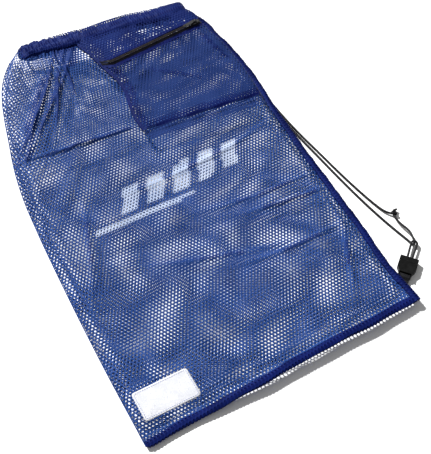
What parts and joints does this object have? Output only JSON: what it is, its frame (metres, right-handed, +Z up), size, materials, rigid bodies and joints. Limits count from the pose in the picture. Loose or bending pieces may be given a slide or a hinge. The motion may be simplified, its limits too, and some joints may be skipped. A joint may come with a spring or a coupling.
{
  "type": "drawstring backpack",
  "caption": "Mesh drawstring backpack with a gathered mouth, a zip pocket, a blank name label, and a cord strap on a side-release buckle.",
  "frame": {"origin": "middle of the back panel, on the face that the bag lies on", "axes": "+X across the bag towards its side seam, +Y along it from the bottom hem to the mouth, +Z up, out of the front panel"},
  "size_m": [0.49, 0.6815, 0.0395],
  "materials": {
    "mesh": "knitted polyester netting",
    "hem": "overlocked netting, several layers",
    "zip_tape": "woven tape",
    "zip_coil": "nylon coil",
    "zip_metal": "black enamel",
    "label": "coated satin",
    "label_stitch": "thread",
    "print": "screen ink on netting",
    "buckle": "moulded acetal",
    "webbing": "woven webbing",
    "cord": "braided cord"
  },
  "bodies": {
    "bag": {"back_panel": "mesh", "front_panel": "mesh", "side_seam": "hem", "bottom_hem": "hem", "mouth_casing": "hem", "pocket_panel": "mesh", "pocket_left_seam": "hem", "pocket_bottom_seam": "hem", "pocket_facing": "mesh", "zip_tape_lower": "zip_tape", "zip_tape_upper": "zip_tape", "zip_coil_lower": "zip_coil", "zip_coil_upper": "zip_coil", "zip_stop_left": "zip_metal", "zip_stop_right": "zip_metal", "name_label": "label", "buckle_socket": "buckle", "corner_tab": "webbing", "tab_bartack": "webbing", "drawstring": "cord", "strap_cord_outer": "cord", "strap_cord_inner": "cord", "cord_knot": "cord"},
    "zip_slider": {"zip_slider": "zip_metal"},
    "zip_pull": {"zip_pull": "zip_metal"},
    "buckle_plug": {"buckle_plug": "buckle", "plug_cord_loop": "cord"}
  },
  "joints": [
    {"name": "zip_slide", "type": "slide", "parent": "bag", "child": "zip_slider", "axis": [-0.9981, -0.061, 0], "range_m": [0, 0.15]},
    {"name": "zip_pull_flip", "type": "hinge", "parent": "zip_slider", "child": "zip_pull", "pos_m": [0.18152, 0.24848, 0.038], "axis": [-0.061, 0.9981, 0], "range_deg": [0, 170]},
    {"name": "plug_release", "type": "slide", "parent": "bag", "child": "buckle_plug", "axis": [0.766, 0.6428, 0], "range_m": [0, 0.02]}
  ]
}
